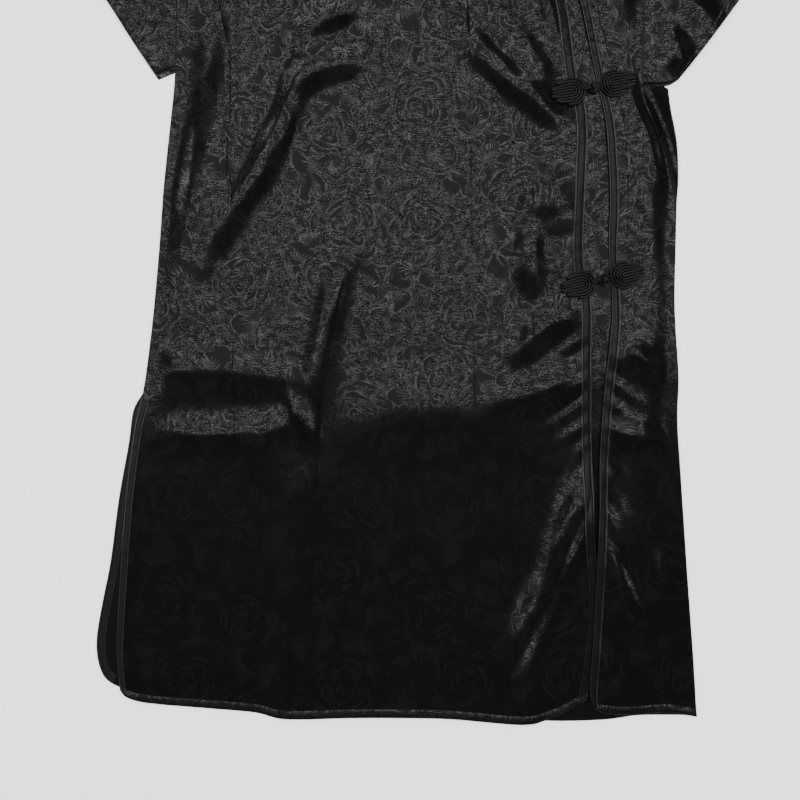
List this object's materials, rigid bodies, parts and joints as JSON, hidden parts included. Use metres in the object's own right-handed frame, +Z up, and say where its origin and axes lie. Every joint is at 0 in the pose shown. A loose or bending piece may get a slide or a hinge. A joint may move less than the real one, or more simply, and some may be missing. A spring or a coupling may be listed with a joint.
{
  "type": "cheongsam top, laid flat",
  "caption": "Short-sleeved cheongsam top in black brocade satin, laid flat, with a stand collar, corded frog fastenings and a side slit.",
  "frame": {"origin": "centre of the bounding box, on the surface that the garment lies on", "axes": "+Z up, away from the surface; +Y from the hem towards the collar; +X towards the side with the opening"},
  "size_m": [0.646, 0.8564, 0.0171],
  "materials": {
    "brocade": "black satin with a woven floral pattern in its own colour",
    "satin": "plain black satin",
    "cord": "black corded satin"
  },
  "bodies": {
    "root": {"back": "brocade", "underlap": "brocade", "front_wide": "brocade", "front_narrow": "brocade", "binding_wide_opening": "satin", "binding_narrow_opening": "satin", "binding_slit_front": "satin", "binding_slit_back": "satin", "sleeve_left": "brocade", "sleeve_right": "brocade", "collar": "brocade", "frog_1_wing_left": "cord", "frog_1_wing_right": "cord", "frog_1_knot": "cord", "frog_1_loop": "cord", "frog_2_wing_left": "cord", "frog_2_wing_right": "cord", "frog_2_knot": "cord", "frog_2_loop": "cord", "frog_3_wing_left": "cord", "frog_3_wing_right": "cord", "frog_3_knot": "cord", "frog_3_loop": "cord"}
  },
  "joints": []
}
